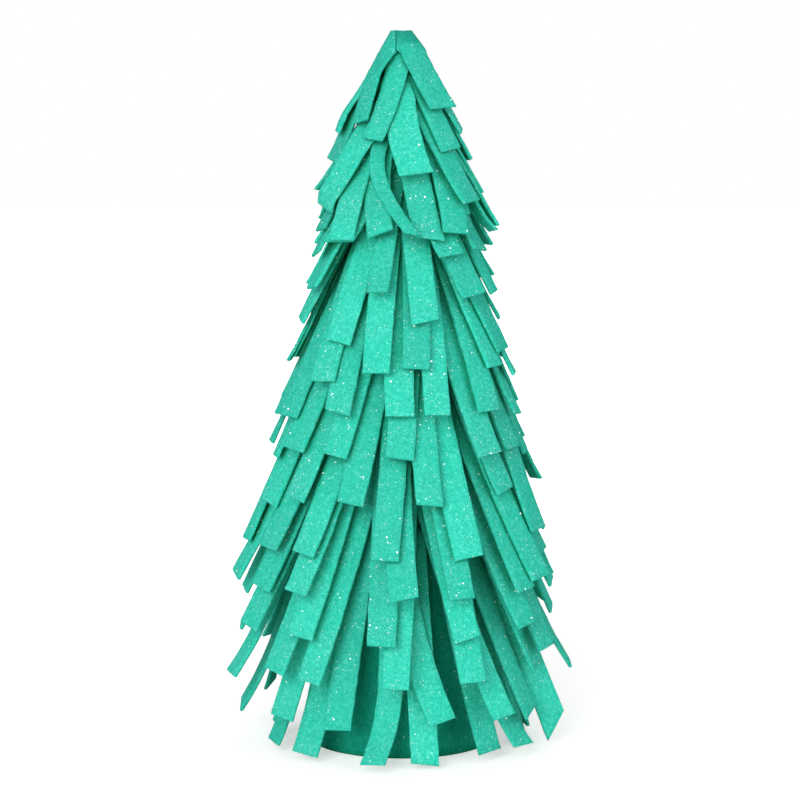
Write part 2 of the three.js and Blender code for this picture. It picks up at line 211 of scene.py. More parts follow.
# Ripples of the felt, wander of its cut edges and waves of the sleeve: length and height of each wave. The
# noise is moved up by NOISE_STEP from tab to tab, and by STRIP_STEP tabs from strip to strip.
RIPPLES = ((9, 0.22), (2.6, 0.1))
WANDER = ((3.1, 0.28), (1.1, 0.12))
SLEEVE_WAVES = ((8, 1), (2.5, 0.5))
NOISE_STEP = 31.7
STRIP_STEP = 13

# The sleeve and the disc: sides, levels, height of the waves and rounding of the edges. The disc is turned
# about its axis, so its faces end at a small radius there.
SLEEVE_SIDES, DISC_SIDES = 120, 96
SLEEVE_LEVELS = 70
SLEEVE_RIPPLE = 0.12
SLEEVE_ROUND, DISC_ROUND = 0.35, 0.4
DISC_CORE = 0.01

# Flakes of glitter: how many a tab has, the height and azimuth round which they crowd, with the range of
# each and how many lie elsewhere, how much tabs differ, and between which shares of a tab the flakes lie.
FLAKES_PER_TAB = 9
CROWD_Z, CROWD_RISE, LEVEL_ELSEWHERE = 85, 75, 0.35
CROWD_AZIMUTH, SIDE_ELSEWHERE = 42, 0.5
FLAKES_DIFFER = (0.2, 1.8)
FLAKES_ALONG = (0.35, 0.985)

# One flake: least radius, how much larger the rare large ones are, thickness, lift off the felt and tilt.
FLAKE_RADIUS, FLAKE_GROWTH = 0.13, 0.3
FLAKE_THICKNESS = 0.04
FLAKE_LIFT = 0.06
FLAKE_TILT = 0.25
FLAKE_ASKEW = (0.31, 0.17, 0.93)

# Loose fibres: how many a tab has, the share of them at its cut end, and how far up its edges the others
# are found. Then one fibre: length, what is inside the felt, radius, taper, scatter and bend.
FIBRES_PER_TAB = 40
FIBRES_AT_END = 0.3
FIBRES_ALONG = 0.6
FIBRE_LENGTH, FIBRE_GROWTH = 0.4, 1.1
FIBRE_ROOT = 0.15
FIBRE_RADIUS, FIBRE_TAPER = 0.035, 0.02
FIBRE_SCATTER = 0.75
FIBRE_BEND = 0.45
FIBRE_ASKEW = (0.2, 0.3, 0.93)
FIBRE_LEAST_Z = 0.05

# Felts: colours of the hollows, of most of the felt and of its fibres, and the share without glitter dust.
# Then the colours of dust, of the shade between tabs and of the tip strip's stains, and how the fibres run.
BRIGHT_FELT = {
    "deep": (0.006, 0.45, 0.31), "usual": (0.029, 0.74, 0.52), "pale": (0.16, 0.89, 0.73), "bare": 0.9,
}
GLUED_FELT = {
    "deep": (0.006, 0.39, 0.27), "usual": (0.022, 0.64, 0.46), "pale": (0.13, 0.8, 0.65), "bare": 0.95,
}
# The sleeve and disc have a darker copy of the tabs' felt: painted shade, as they lie under the tabs.
PAINTED_SHADE_FELT = {
    "deep": (0.002, 0.26, 0.16), "usual": (0.004, 0.42, 0.27), "pale": (0.03, 0.56, 0.4), "bare": 0.97,
}
DUST = (0.7, 0.98, 0.92)
SHADOW = (0.06, 0.6, 0.4)
GLUE_STAIN = (0.004, 0.33, 0.22)
SEAM_SHADE = (0.0, 0.07, 0.04)
FIBRE_TURNS = ((0.1, 0.35, 0.0), (0.2, -0.6, 0.3), (0.9, 0.2, 0.5), (-0.5, 1.2, 0.0))
FIBRE_SCALE = (2300.0, 2300.0, 330.0)

# The camera of the photograph: where it looks and from how far, lens and sensor, and how far it sees.
CAMERA_DISTANCE = 1250.0
CAMERA_ELEVATION = math.radians(8)
CAMERA_TARGET = Vector((-0.63, 0, 145))
LENS = 133.2
SENSOR = 36
CLIP_END = 20

# Lamps: place and size in metres, and power in watts. They all point at LAMP_TARGET.
LAMPS = {
    "key": ((-0.75, -2.0, 0.95), 1.3, 37),
    "fill": ((1.6, -1.5, 0.8), 1.2, 12),
    "back": ((0.3, 1.9, 1.6), 1.4, 8),
}
LAMP_TARGET = Vector((0, 0, 0.15))
SKY_LIGHT = 0.42

# The floor's corners, how much it glows round the tree, where the shadow lies, and the distances in metres
# between which that grows to 1.
FLOOR = [(-3000, -1500, 0), (3000, -1500, 0), (3000, 3000, 0), (-3000, 3000, 0)]
FLOOR_GLOW = 0.5
FLOOR_NEAR, FLOOR_FAR = 0.2, 0.7


def foam_radius(z):
    """Radius of the foam cone at a height."""
    share = (z - FOOT_Z) / CONE_HEIGHT
    return CONE_BASE_RADIUS + (CONE_TIP_RADIUS - CONE_BASE_RADIUS) * share


def seat_radius(z):
    """Radius of what the headers are glued to: the sleeve, or the bare foam above it."""
    bare = foam_radius(min(z, CONE_TOP_Z))
    return bare if z > SLEEVE_HEIGHT + FIT_GAP else bare + FIT_GAP + FELT


def outline_radius(z):
    """Radius at which tabs end at a height."""
    return np.interp(z / TREE_HEIGHT, OUTLINE[:, 0], OUTLINE[:, 1]) * SKIRT_RADIUS


def around(radius, angle, z):
    """Points round the tree, where angle 0 is the front."""
    return np.stack([radius * np.sin(angle), -radius * np.cos(angle), z], axis=-1)


def unit(vectors):
    """The vectors at length 1."""
    return vectors / np.linalg.norm(vectors, axis=-1, keepdims=True)


def ease(share, start, span):
    """Rises from 0 at the start to 1 at the end of a span."""
    return np.clip((share - start) / span, 0, 1)


def waves(place, sizes):
    """Height of several waves of noise, each given by its length and its height."""
    return sum(noise.noise(place / length) * height for length, height in sizes)


class Dice:
    """The same run of random numbers as the part uses."""

    FACTOR = 16807
    MODULUS = 2147483647

    def __init__(self, seed):
        self.seed = seed

    def random(self):
        self.seed = (self.seed * self.FACTOR) % self.MODULUS
        return self.seed / self.MODULUS

    def spread(self, size):
        return (2 * self.random() - 1) * size


@dataclass
class Tab:
    """One tab of a strip, in millimetres and radians: where it starts and ends, its habits and its profile.

    The profile is a radius for each of several shares of the drop. spacing is the angle between the tops of
    neighbouring tabs, tone makes its felt lighter or darker, and a stiff header is in line with its tab.
    """

    top_z: float
    drop: float
    header: float
    stiff: bool
    spacing: float
    root_angle: float
    end_angle: float
    twist: float
    bow: float
    width: float
    sway: float
    curl: float
    slant: float
    tone: float
    shares: np.ndarray
    radii: np.ndarray

    def radius(self, share):
        return np.interp(share, self.shares, self.radii)

    def angle(self, share):
        return self.root_angle + (self.end_angle - self.root_angle) * share

    def centre(self, share):
        return around(self.radius(share), self.angle(share), self.top_z - self.drop * share)

    def axes(self, share):
        """Directions across the tab and out of its face."""
        step = 1 / (2 * SAMPLES)
        down = unit(self.centre(np.minimum(share + step, 1)) - self.centre(np.maximum(share - step, 0)))
        angle = self.angle(share) + self.twist * share
        across = unit(np.cross(around(1, angle, np.zeros_like(angle)), down))
        return across, unit(np.cross(down, across))

    def width_at(self, share):
        """The tops of the tabs are gathered into the room that the cone has for them."""
        room = self.radius(share) * self.spacing - SLIT_WIDTH
        full = ease(share, WIDEN_FROM, WIDEN_OVER)
        return np.minimum(self.width, room) * (1 - full) + self.width * full

    def points(self, share, side, lift):
        """Points of the tab: side runs across it from -1 to 1, and lift is measured from its inner face."""
        share, side, lift = np.broadcast_arrays(share, side, lift)
        across, face = self.axes(share)
        offset = side * self.width_at(share) / 2 + self.sway * np.sin(math.pi * share)
        head = self.header / self.drop
        roll = np.clip((ROLL_END - share) / (ROLL_END - head), 0, 1) ** 2
        bend = np.minimum(roll + LEAST_ROLL, 1) / np.maximum(self.radius(share), CONE_TIP_RADIUS)
        arc = bend * offset
        lateral = np.sin(arc) * (1 / bend + lift)
        out = np.cos(arc) * (1 / bend + lift) - 1 / bend
        curl = self.curl * ease(share, CURL_FROM, CURL_OVER) ** 2
        return self.centre(share) + across * lateral[..., None] + face * (out + curl)[..., None]


def map_index(points):
    """Row and sector of the map that each point lies in."""
    angle = np.arctan2(points[..., 0], -points[..., 1]) % TURN
    sector = (angle / TURN * MAP_SECTORS).astype(int) % MAP_SECTORS
    row = np.clip((points[..., 2] / MAP_RISE).astype(int), 0, MAP_ROWS - 1)
    return row, sector


def raise_map(reach, points):
    """Notes in the map how far out felt at the points reaches."""
    np.maximum.at(reach, map_index(points), np.hypot(points[..., 0], points[..., 1]))


def shortfall(tab, share, reach, finished):
    """How far the tab has to move out at each share of its drop to clear the felt under it.

    Its upper part only has to clear the finished strips, because there it lies beside its neighbours.
    """
    side = np.linspace(-1, 1, PROBES) * (1 + 2 * LAY_GAP / tab.width)
    points = tab.points(share[:, None], side[None, :], 0.0)
    index = map_index(points)
    below = np.where(share[:, None] < ROLL_END, finished[index], reach[index])
    return (below + LAY_GAP - np.hypot(points[..., 0], points[..., 1])).max(axis=1)


def taut(shares, radii):
    """Least profile over the given points whose slope only falls towards the end."""
    hull = []
    for x, y in zip(shares, radii):
        while len(hull) > 1:
            (x0, y0), (x1, y1) = hull[-2:]
            if (y1 - y0) * (x - x1) > (y - y1) * (x1 - x0):
                break
            hull.pop()
        hull.append((x, y))
    hull = np.array(hull)
    return np.interp(shares, hull[:, 0], hull[:, 1])


def soften(radii):
    """Rounds the bends of a profile, with its two ends kept."""
    for _ in range(SOFTEN_ROUNDS):
        radii[1:-1] = (radii[:-2] + 2 * radii[1:-1] + radii[2:]) / 4
    return radii


def lay_tab(tab, reach, finished):
    """Lays a tab over everything that is in place already, then adds it to the map."""
    share = np.linspace(0, 1, SAMPLES + 1)
    tab.radii[0] += max(shortfall(tab, share[:1], reach, finished)[0], 0)
    now = tab.radius(share)
    bow = tab.bow * 4 * share * (1 - share)
    needs = np.maximum(now + shortfall(tab, share, reach, finished), now + bow)
    needs[0] = now[0]
    rolled = 0 if tab.stiff else round(tab.header / tab.drop * SAMPLES)
    tab.shares = share
    tab.radii = soften(np.concatenate([needs[:rolled], taut(share[rolled:], needs[rolled:])]))
    for _ in range(MEND_ROUNDS):
        more = np.maximum(shortfall(tab, share, reach, finished), 0)
        more[0] = 0
        wide = np.max([np.roll(more, k) for k in (-1, 0, 1)], axis=0)
        tab.radii = tab.radii + wide * np.minimum(share / MEND_EASE, 1)
    steps = np.linspace(0, 1, math.ceil(2 * tab.drop / MAP_RISE))
    sides = np.linspace(-1, 1, math.ceil(2 * tab.width / MAP_RISE))
    raise_map(reach, tab.points(steps[:, None], sides[None, :], FELT))


def close_header(tabs, reach):
    """The header closes the gaps between the tops of its tabs, so all sectors there are taken."""
    angle = (np.arange(MAP_SECTORS) + 0.5) / MAP_SECTORS * TURN
    for drop in np.arange(0, HEADER_HEIGHT, MAP_RISE / 2):
        radius = max(tab.radius(drop / tab.drop) for tab in tabs) + FELT
        raise_map(reach, around(radius, angle, np.full(MAP_SECTORS, tabs[0].top_z - drop)))


def strip_tabs(number, strip, dice, hand):
    """Tabs of a strip in order round the cone: the front ones, then the ones that fill the back."""
    head, end, back, front = strip
    ends = [(azimuth, lift, flare, HABITS.get((number, azimuth), {})) for azimuth, lift, flare in front]
    right, left = max(e[0] for e in ends), min(e[0] for e in ends) + 360
    for k in range(1, back + 1):
        azimuth = right + (left - right) * k / (back + 1) + dice.spread(AZIMUTH_SPREAD)
        ends.append((azimuth, dice.spread(END_SPREAD), BACK_FLARE, {"back": True}))
    ends.sort(key=lambda e: e[0])
    top_z = head * TREE_HEIGHT
    step = 360 / len(ends)
    phase = sum(e[0] - step * k for k, e in enumerate(ends)) / len(ends)
    root = seat_radius(top_z) + FIT_GAP
    shares, radii = [0.0, 1.0], [root]
    if not number:
        phase += TIP_TURN
        shares, radii = [0.0, TIP_BEND, 1.0], [root, root + TIP_EASE]
    usual = TAB_WIDTH if number else TIP_TAB_WIDTH
    tabs = []
    for k, (azimuth, lift, flare, habit) in enumerate(ends):
        end_z = max(end * TREE_HEIGHT + lift * TAB_WIDTH, END_CLEARANCE)
        flared = 1 + flare + dice.spread(FLARE_SPREAD)
        end_radius = root + (outline_radius(end_z) - root) * flared
        turns = "back" not in habit and TURN_BACK_FROM < azimuth < TURN_BACK_TO
        turned = -azimuth * TURN_BACK if turns else 0
        # Each tab makes all its draws, even where a habit takes their place, so that later tabs stay put.
        tabs.append(Tab(
            top_z=top_z,
            drop=top_z - end_z,
            header=HEADER_HEIGHT if number else TIP_HEADER_HEIGHT,
            stiff=number > 0,
            spacing=math.radians(step),
            root_angle=math.radians(phase + step * k),
            end_angle=math.radians(azimuth),
            twist=math.radians(turned + dice.spread(TWIST_SPREAD) + habit.get("twist", 0)),
            bow=dice.random() * BOW * FELT,
            width=usual * habit.get("wide", hand.uniform(*WIDTH_RANGE)),
            sway=habit.get("sway", hand.normal(0, SWAY_SPREAD)),
            curl=habit.get("curl", abs(hand.normal(0, CURL_SPREAD))),
            slant=habit.get("slant", hand.normal(0, SLANT_SPREAD)),
            tone=hand.uniform(0, 1),
            shares=np.array(shares),
            radii=np.array([*radii, end_radius]),
        ))
    return tabs


def stations(tab):
    """Shares along a tab: the header, then the free length down to its rounded end."""
    header = tab.header / tab.drop
    free = np.linspace(header, 1 - ROUND / tab.drop, STATIONS)
    return np.concatenate([[0], free, [1]])


def tab_corners(tab):
    """Corners of a tab, outer face first, one row across it at each station, and the tab's arc length."""
    share = stations(tab)[:, None]
    end_lift = np.ones(len(share))
    end_lift[-1] = EDGE_LIFT
    outer = FELT * FACE_LIFT[None, :] * end_lift[:, None]
    lean = (tab.slant * LINES[None, :] + abs(tab.slant)) * tab.width / 2 / tab.drop
    cut = share - lean * ease(share, SLANT_FROM, SLANT_OVER)
    skin = np.stack([tab.points(cut, LINES[None, :], lift) for lift in (outer, FELT - outer)])
    middle = tab.points(share[:, 0], 0.0, 0.0)
    return skin, np.linalg.norm(np.diff(middle, axis=0), axis=-1).sum()


def roughen(skin, tabs_before):
    """Hand cutting and soft felt: both faces ripple together, and the cut edges wander a little."""
    middle = skin.mean(axis=0)
    across = unit(skin[0, :, -1] - skin[0, :, 0])
    outward = unit(skin[0] - skin[1])
    shift = np.zeros_like(middle)
    for i, k in np.ndindex(middle.shape[:2]):
        place = Vector(middle[i, k]) + Vector((0, 0, NOISE_STEP * tabs_before))
        shift[i, k] = outward[i, k] * waves(place, RIPPLES)
        if k in EDGE_LINES:
            shift[i, k] += across[i] * waves(place, WANDER)
    return skin + shift


def strip_faces(count, along, across):
    """Faces over a strip, whose corners go by tab n, outer or inner face, row i along it and line k."""

    def at(n, face, i, k):
        return (((n % count) * 2 + face) * along + i) * across + k

    faces = []
    end, last = along - 1, across - 1
    for n in range(count):
        for k in range(last):
            for i in range(end):
                j = i + 1
                faces.append((at(n, 0, i, k), at(n, 0, j, k), at(n, 0, j, k + 1), at(n, 0, i, k + 1)))
                faces.append((at(n, 1, i, k), at(n, 1, i, k + 1), at(n, 1, j, k + 1), at(n, 1, j, k)))
            faces.append((at(n, 0, 0, k), at(n, 0, 0, k + 1), at(n, 1, 0, k + 1), at(n, 1, 0, k)))
            faces.append((at(n, 0, end, k), at(n, 1, end, k), at(n, 1, end, k + 1), at(n, 0, end, k + 1)))
        for i in range(1, end):
            j = i + 1
            faces.append((at(n, 0, i, 0), at(n, 1, i, 0), at(n, 1, j, 0), at(n, 0, j, 0)))
            faces.append((at(n, 0, i, last), at(n, 0, j, last), at(n, 1, j, last), at(n, 1, i, last)))
        faces.append((at(n, 0, 0, last), at(n, 0, 1, last), at(n + 1, 0, 1, 0), at(n + 1, 0, 0, 0)))
        faces.append((at(n, 1, 0, last), at(n + 1, 1, 0, 0), at(n + 1, 1, 1, 0), at(n, 1, 1, last)))
        faces.append((at(n, 0, 0, last), at(n + 1, 0, 0, 0), at(n + 1, 1, 0, 0), at(n, 1, 0, last)))
        faces.append((at(n, 0, 1, last), at(n, 1, 1, last), at(n + 1, 1, 1, 0), at(n + 1, 0, 1, 0)))
    return faces


def strip_mesh(name, number, tabs):
    """One closed skin over a strip: its tabs are joined side by side down to where the header ends."""
    skins, tones, length = [], [], 0.0
    for n, tab in enumerate(tabs):
        skin, arc = tab_corners(tab)
        skins.append(roughen(skin, n + STRIP_STEP * number))
        tones += [tab.tone] * (skin.size // 3)
        length += arc / len(tabs)
    faces = strip_faces(len(tabs), *skin.shape[1:3])
    piece = new_piece(name, np.concatenate([skin.reshape(-1, 3) for skin in skins]), faces)
    add_numbers(piece, "tone", tones)
    return piece, length, skins


def new_piece(name, points, faces, smooth=True):
    """A mesh object from points in millimetres."""
    mesh = bpy.data.meshes.new(name)
    mesh.from_pydata((np.asarray(points) * MM).tolist(), [], faces)
    mesh.validate()
    mesh.polygons.foreach_set("use_smooth", [smooth] * len(mesh.polygons))
    mesh.update()
    piece = bpy.data.objects.new(name, mesh)
    bpy.context.scene.collection.objects.link(piece)
    return piece


def add_numbers(piece, name, values):
    """Gives each point of a piece a number that its material can look up by name."""
    layer = piece.data.attributes.new(name, "FLOAT", "POINT")
    layer.data.foreach_set("value", np.array(values, dtype=np.float32))


def turned_piece(name, profile, sides, ripple):
    """A body turned about Z from a closed profile of (radius, z), with a felt-like ripple."""
    points, faces = [], []
    count = len(profile)
    for s in range(sides):
        angle = s / sides * TURN
        for radius, z in profile:
            place = Vector((radius * math.sin(angle), -radius * math.cos(angle), z))
            scale = (radius + waves(place, SLEEVE_WAVES) * ripple) / radius
            points.append((place.x * scale, place.y * scale, z))
    for s in range(sides):
        a, b = s * count, (s + 1) % sides * count
        for k in range(count):
            j = (k + 1) % count
            faces.append((a + k, b + k, b + j, a + j))
    return new_piece(name, points, faces)


def at_right_angles(ways, askew):
    """Two directions at right angles to each of the given ones, none of which lies along askew."""
    side = unit(np.cross(ways, np.array(askew)))
    return side, np.cross(ways, side)


def flake(place, normal, radius, spin):
    """Corners and faces of a thin six-sided flake that lies across a normal."""
    side, up = at_right_angles(normal, FLAKE_ASKEW)
    angles = spin + np.arange(6) * TURN / 6
    rim = np.cos(angles)[:, None] * side * radius + np.sin(angles)[:, None] * up * radius
    points = np.concatenate([place + rim, place + rim + normal * FLAKE_THICKNESS])
    faces = [tuple(range(5, -1, -1)), tuple(range(6, 12))]
    faces += [(k, (k + 1) % 6, 6 + (k + 1) % 6, 6 + k) for k in range(6)]
    return points, faces


def glitter_piece(name, skins, hand):
    """Loose flakes of glitter on the free lengths of the tabs, most of them in front and rather low."""
    points, faces, tints = [], [], []
    for outer, inner in skins:
        x, y, z = outer[-1, MIDDLE]
        level = LEVEL_ELSEWHERE + math.exp(-(((z - CROWD_Z) / CROWD_RISE) ** 2))
        front = SIDE_ELSEWHERE + math.exp(-((math.degrees(math.atan2(x, -y)) / CROWD_AZIMUTH) ** 2))
        for _ in range(hand.poisson(FLAKES_PER_TAB * level * front * hand.uniform(*FLAKES_DIFFER))):
            i = int(hand.uniform(*FLAKES_ALONG) * (outer.shape[0] - 1))
            k = hand.integers(1, outer.shape[1] - 2)
            u, v = hand.uniform(0, 1, 2)
            place = (outer[i, k] * (1 - u) + outer[i + 1, k] * u) * (1 - v) \
                + (outer[i, k + 1] * (1 - u) + outer[i + 1, k + 1] * u) * v
            normal = unit(outer[i, k] - inner[i, k])
            normal = unit(normal + hand.normal(0, FLAKE_TILT, 3))
            radius = FLAKE_RADIUS + FLAKE_GROWTH * hand.random() ** 4
            corners, sides = flake(place + normal * FLAKE_LIFT, normal, radius, hand.uniform(0, 1))
            faces += [tuple(c + len(points) for c in face) for face in sides]
            points += list(corners)
            tints += [hand.random()] * len(corners)
    piece = new_piece(name, points, faces, smooth=False)
    add_numbers(piece, "tint", tints)
    return piece


def fuzz_piece(name, skins, hand):
    """Short loose fibres that stand out of the cut edges of the tabs, each a thin closed tube."""
    starts, ways = [], []
    for outer, inner in skins:
        middle = (outer + inner) / 2
        last = middle.shape[0] - 1
        down = unit(middle[-1, MIDDLE] - middle[-4, MIDDLE])
        face = unit(outer[last // 2, MIDDLE] - inner[last // 2, MIDDLE])
        for _ in range(FIBRES_PER_TAB):
            if hand.random() < FIBRES_AT_END:
                k = hand.integers(0, middle.shape[1] - 1)
                start = middle[-1, k] + (middle[-1, k + 1] - middle[-1, k]) * hand.random()
                way = down
            else:
                i = int(last * (1 - FIBRES_ALONG * hand.random() ** 1.5)) - 1
                edge = hand.choice([0, middle.shape[1] - 1])
                start = middle[i, edge] + (middle[i + 1, edge] - middle[i, edge]) * hand.random()
                way = unit(middle[i, edge] - middle[i, MIDDLE])
            starts.append(start + face * hand.uniform(-0.5, 0.5) * FELT)
            ways.append(unit(way + hand.normal(0, FIBRE_SCATTER, 3)))
    starts, ways = np.array(starts), np.array(ways)
    count = len(starts)
    bend = hand.normal(0, FIBRE_BEND, (count, 3))
    length = FIBRE_LENGTH + FIBRE_GROWTH * hand.random((count, 1)) ** 2
    side, up = at_right_angles(ways, FIBRE_ASKEW)
    rings = []
    for step in (0.0, 0.5, 1.0):
        centre = starts - ways * FIBRE_ROOT + (ways + bend * step) * length * step
        for angle in np.arange(3) * TURN / 3:
            spoke = side * math.cos(angle) + up * math.sin(angle)
            rings.append(centre + spoke * (FIBRE_RADIUS - FIBRE_TAPER * step))
    points = np.stack(rings, axis=1).reshape(-1, 3)
    points[:, 2] = np.maximum(points[:, 2], FIBRE_LEAST_Z)
    faces = []
    for a in range(0, len(points), len(rings)):
        faces += [(a + 2, a + 1, a), (a + 6, a + 7, a + 8)]
        for low in (a, a + 3):
            faces += [(low + c, low + (c + 1) % 3, low + 3 + (c + 1) % 3, low + 3 + c) for c in range(3)]
    return new_piece(name, points, faces)


class Graph:
    """Short helper for building the nodes of a material or of the world."""

    def __init__(self, owner):
        owner.use_nodes = True
        self.owner = owner
        self.tree = owner.node_tree

    def fill(self, socket, value):
        """Links an input to an output, or gives it a value."""
        if isinstance(value, bpy.types.NodeSocket):
            self.tree.links.new(value, socket)
        else:
            socket.default_value = value

    def add(self, kind, inputs=None, **settings):
        node = self.tree.nodes.new(kind)
        for key, value in settings.items():
            setattr(node, key, value)
        for key, value in (inputs or {}).items():
            self.fill(node.inputs[key], value)
        return node

    def place(self):
        return self.add("ShaderNodeTexCoord").outputs["Object"]

    def noise(self, scale, detail=4.0, rough=0.6, distortion=0.0, place=None):
        inputs = {"Vector": place or self.place(), "Scale": scale, "Detail": detail, "Roughness": rough,
                  "Distortion": distortion}
        return self.add("ShaderNodeTexNoise", inputs).outputs["Fac"]

    def ramp(self, value, low, high, to_low=0.0, to_high=1.0):
        inputs = {"Value": value, "From Min": low, "From Max": high, "To Min": to_low, "To Max": to_high}
        return self.add("ShaderNodeMapRange", inputs).outputs["Result"]

    def math(self, operation, a, b):
        return self.add("ShaderNodeMath", {0: a, 1: b}, operation=operation).outputs[0]

    def mix(self, share, a, b, blend="MIX"):
        inputs = {0: share, 6: a, 7: b}
        return self.add("ShaderNodeMix", inputs, data_type="RGBA", blend_type=blend).outputs[2]

    def bump(self, height, strength, distance):
        node = self.add("ShaderNodeBump", {"Height": height, "Strength": strength, "Distance": distance})
        self.set(Normal=node.outputs["Normal"])

    def set(self, **values):
        """Sets inputs of the material's shader."""
        for key, value in values.items():
            self.fill(self.tree.nodes["Principled BSDF"].inputs[key.replace("_", " ")], value)


def rgba(red, green, blue):
    """An opaque colour."""
    return (red, green, blue, 1.0)


def fibre_mask(g, turn):
    """Thin matted fibres that run mostly one way: noise drawn out along a turned axis."""
    inputs = {"Vector": g.place(), "Rotation": turn, "Scale": FIBRE_SCALE}
    place = g.add("ShaderNodeMapping", inputs).outputs["Vector"]
    fibres = g.noise(1, detail=3, rough=0.55, distortion=0.5, place=place)
    return g.ramp(fibres, 0.5, 0.72)


def tip_stains(g, colour):
    """The butted seam of the tip strip, and the darker patch beside it where glue has soaked in."""
    place = g.add("ShaderNodeSeparateXYZ", {"Vector": g.place()})
    x, y, z = (place.outputs[axis] for axis in "XYZ")
    wander = g.ramp(g.noise(500, detail=3), 0.3, 0.7, -STAIN_WANDER * MM, STAIN_WANDER * MM)
    front = g.math("LESS_THAN", y, 0.0)
    line = g.math("SUBTRACT", g.math("ADD", x, g.math("MULTIPLY", wander, 0.2)), SEAM_X * MM)
    off = g.math("ABSOLUTE", line, 0.0)
    seam = g.math("MULTIPLY", g.ramp(off, SEAM_CORE * MM, SEAM_EDGE * MM, 1.0, 0.0), front)
    foot = (TREE_HEIGHT - TIP_HEADER_HEIGHT - SEAM_BELOW) * MM
    seam = g.math("MULTIPLY", seam, g.math("GREATER_THAN", z, foot))
    side = g.ramp(g.math("ADD", x, wander), SEAM_X * MM, (SEAM_X + STAIN_EDGE) * MM)
    low, high = (TREE_HEIGHT - STAIN_LOW) * MM, (TREE_HEIGHT - STAIN_HIGH) * MM
    level = g.ramp(g.math("ADD", z, wander), low, high)
    patch = g.math("MULTIPLY", g.math("MULTIPLY", side, level), front)
    colour = g.mix(g.math("MULTIPLY", patch, 0.5), colour, rgba(*GLUE_STAIN))
    return g.mix(g.math("MULTIPLY", seam, 0.9), colour, rgba(*SEAM_SHADE))


def shaded(g, colour):
    """Gives each tab its own tone, and paints shade: darker and greener felt deep between the tabs."""
    tone = g.add("ShaderNodeAttribute", attribute_name="tone").outputs["Fac"]
    shade = g.add("ShaderNodeHueSaturation", {"Value": g.ramp(tone, 0, 1, 0.87, 1.07), "Color": colour})
    # Painted shade: ambient occlusion draws the colour towards SHADOW where tabs lie close together.
    hollow = g.add("ShaderNodeAmbientOcclusion", {"Distance": 0.012}, samples=4).outputs["AO"]
    return g.mix(g.ramp(hollow, 0.1, 0.6, 1, 0), shade.outputs["Color"], rgba(*SHADOW), "MULTIPLY")


def dusted(g, colour, patches, bare):
    """Adds specks of glitter dust, which lie closer together in some patches than in others."""
    dust = g.add("ShaderNodeTexVoronoi", {"Vector": g.place(), "Scale": 900.0})
    chance = g.add("ShaderNodeSeparateColor", {"Color": dust.outputs["Color"]}).outputs["Red"]
    near = g.math("LESS_THAN", dust.outputs["Distance"], 0.2)
    crowd = g.math("GREATER_THAN", g.math("ADD", chance, g.ramp(patches, 0.4, 0.6, -0.08, 0.08)), bare)
    return g.mix(g.math("MULTIPLY", near, crowd), colour, rgba(*DUST))


def felt_material(name, deep, usual, pale, bare, seam=False):
    """Craft felt: matted fibres, soft mottling, a tone for each tab and dust of glitter.

    A scale of noise is how many of its waves make a metre.
    """
    g = Graph(bpy.data.materials.new(name))
    deep, usual, pale = rgba(*deep), rgba(*usual), rgba(*pale)
    masks = [fibre_mask(g, turn) for turn in FIBRE_TURNS]
    fibres = g.math("MAXIMUM", g.math("MAXIMUM", masks[0], masks[1]), g.math("MAXIMUM", masks[2], masks[3]))
    clumps = g.noise(1500, detail=5, rough=0.75, distortion=0.4)
    patches = g.noise(60, detail=4, rough=0.6)
    colour = g.mix(g.ramp(clumps, 0.3, 0.62), deep, usual)
    worn = g.ramp(patches, 0.42, 0.66)
    colour = g.mix(g.math("MULTIPLY", worn, 0.45), colour, deep)
    mottle = g.noise(620, detail=5, rough=0.75, distortion=0.6)
    colour = g.mix(g.ramp(mottle, 0.5, 0.34, 0, 0.65), colour, deep)
    colour = g.mix(g.ramp(mottle, 0.52, 0.7, 0, 0.75), colour, pale)
    colour = g.mix(g.math("MULTIPLY", fibres, g.ramp(worn, 0, 1, 0.35, 0.7)), colour, pale)
    colour = dusted(g, shaded(g, colour), patches, bare)
    if seam:
        colour = tip_stains(g, colour)
    height = g.math("ADD", g.math("MULTIPLY", fibres, 0.7), g.math("MULTIPLY", clumps, 0.7))
    g.bump(height, 0.7, 0.0004)
    g.set(Base_Color=colour, Roughness=0.95, Specular_IOR_Level=0.03)
    g.set(Sheen_Weight=0.02, Sheen_Roughness=0.5, Sheen_Tint=rgba(0.4, 1.0, 0.85))
    return g.owner


def foam_material():
    """White foam of fused beads."""
    g = Graph(bpy.data.materials.new("foam_beads"))
    beads = g.add("ShaderNodeTexVoronoi", {"Vector": g.place(), "Scale": 330.0}).outputs["Distance"]
    grain = g.noise(1800, detail=3)
    g.bump(g.math("ADD", beads, g.math("MULTIPLY", grain, 0.2)), 0.5, 0.0006)
    colour = g.mix(g.ramp(beads, 0.3, 0.7), rgba(0.86, 0.86, 0.84), rgba(0.72, 0.72, 0.7))
    g.set(Base_Color=colour, Roughness=0.75)
    return g.owner


def glitter_material():
    """Small reflecting flakes, whitish with a little of every hue, that glow a little as painted glints."""
    g = Graph(bpy.data.materials.new("glitter_flakes"))
    tint = g.add("ShaderNodeAttribute", attribute_name="tint").outputs["Fac"]
    hue = g.add("ShaderNodeHueSaturation", {"Hue": tint, "Color": rgba(0.75, 1.0, 0.94), "Saturation": 0.7})
    g.set(Base_Color=g.mix(0.3, rgba(0.95, 1.0, 0.98), hue.outputs["Color"]), Roughness=0.25)
    # Painted glints: a faint glow on every flake stands in for its sparkle.
    g.set(Emission_Color=rgba(0.9, 1.0, 0.97), Emission_Strength=0.5)
    g.bump(g.noise(4000, detail=2), 0.1, 0.0001)
    return g.owner


